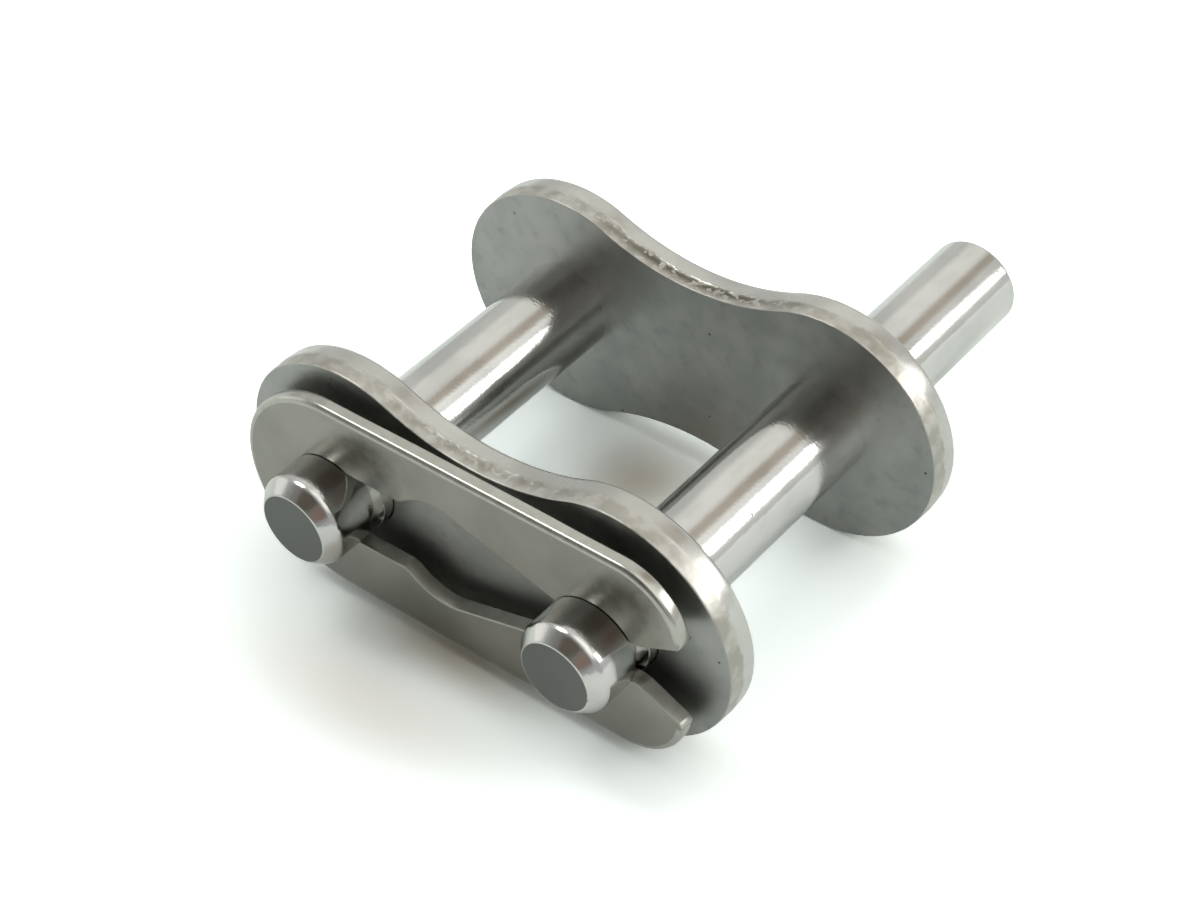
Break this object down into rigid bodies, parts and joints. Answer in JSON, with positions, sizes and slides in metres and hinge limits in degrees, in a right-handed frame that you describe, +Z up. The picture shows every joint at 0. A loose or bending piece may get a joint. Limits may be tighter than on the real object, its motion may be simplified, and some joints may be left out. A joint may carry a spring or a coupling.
{
  "type": "roller chain connecting link",
  "caption": "Spring-clip connecting link for a roller chain, with a long pin that runs on past the rear plate to carry an attachment.",
  "frame": {"origin": "on the long pin's axis, in the outer face of the rear plate", "axes": "+X along the chain, away from the standard pin; +Y along the pins towards the long pin's free end; +Z up, across the plates"},
  "size_m": [0.0232, 0.0275, 0.0104],
  "materials": {
    "plate_steel": "tumbled stamped steel, satin faces and bright edges",
    "pin_steel": "ground and polished steel",
    "spring_steel": "smooth satin spring steel"
  },
  "bodies": {
    "pinned_frame": {"rear_plate": "plate_steel", "standard_pin": "pin_steel", "extended_pin": "pin_steel"},
    "cover": {"cover_plate": "plate_steel"},
    "clip": {"spring_clip": "spring_steel"}
  },
  "joints": [
    {"name": "cover_slide", "type": "slide", "parent": "pinned_frame", "child": "cover", "axis": [0, 1, 0], "range_m": [-0.00057, 0.01145]},
    {"name": "clip_slide", "type": "slide", "parent": "pinned_frame", "child": "clip", "axis": [-1, 0, 0], "range_m": [0, 0.00545], "deforming": ["spring_clip"]}
  ]
}
